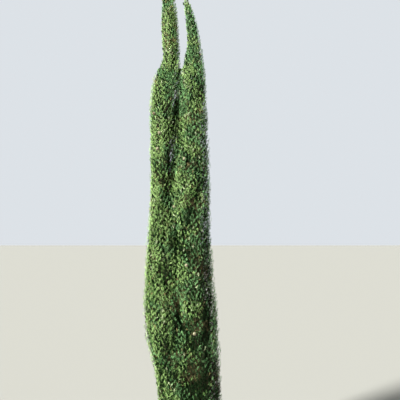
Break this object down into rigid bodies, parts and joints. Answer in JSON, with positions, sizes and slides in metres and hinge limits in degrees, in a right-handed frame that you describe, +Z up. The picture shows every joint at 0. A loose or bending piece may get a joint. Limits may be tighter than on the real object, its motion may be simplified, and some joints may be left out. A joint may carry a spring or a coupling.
{
  "type": "italian cypress tree",
  "caption": "Narrow columnar conifer with two upright leaders from one trunk, clad in steep flame-shaped plumes of fine foliage.",
  "frame": {"origin": "centre of the flat cut under the trunk, at ground level", "axes": "+Z up along the trunk, +Y to the back of the tree as the picture sees it, +X to its right"},
  "size_m": [0.4986, 0.3074, 3.3963],
  "materials": {
    "bark": "rough fibrous bark",
    "foliage": "matt scale leaves in fine upright sprays",
    "cone": "dry woody seed cones"
  },
  "bodies": {
    "root": {"trunk": "bark", "right_leader": "bark", "left_plume_01": "foliage", "left_plume_02": "foliage", "left_plume_03": "foliage", "left_plume_04": "foliage", "left_plume_05": "foliage", "left_bough_06": "bark", "left_plume_06": "foliage", "left_plume_07": "foliage", "left_bough_08": "bark", "left_plume_08": "foliage", "left_plume_09": "foliage", "left_bough_10": "bark", "left_plume_10": "foliage", "left_plume_11": "foliage", "left_bough_12": "bark", "left_plume_12": "foliage", "left_plume_13": "foliage", "left_bough_14": "bark", "left_plume_14": "foliage", "left_plume_15": "foliage", "left_bough_16": "bark", "left_plume_16": "foliage", "left_plume_17": "foliage", "left_plume_18": "foliage", "left_plume_19": "foliage", "left_plume_20": "foliage", "left_plume_21": "foliage", "left_plume_22": "foliage", "left_tip_plume": "foliage", "right_plume_01": "foliage", "right_plume_02": "foliage", "right_plume_03": "foliage", "right_plume_04": "foliage", "right_plume_05": "foliage", "right_bough_06": "bark", "right_plume_06": "foliage", "right_plume_07": "foliage", "right_bough_08": "bark", "right_plume_08": "foliage", "right_plume_09": "foliage", "right_bough_10": "bark", "right_plume_10": "foliage", "right_plume_11": "foliage", "right_bough_12": "bark", "right_plume_12": "foliage", "right_plume_13": "foliage", "right_bough_14": "bark", "right_plume_14": "foliage", "right_plume_15": "foliage", "right_bough_16": "bark", "right_plume_16": "foliage", "right_plume_17": "foliage", "right_plume_18": "foliage", "right_plume_19": "foliage", "right_plume_20": "foliage", "right_plume_21": "foliage", "right_plume_22": "foliage", "right_tip_plume": "foliage"}
  },
  "joints": []
}
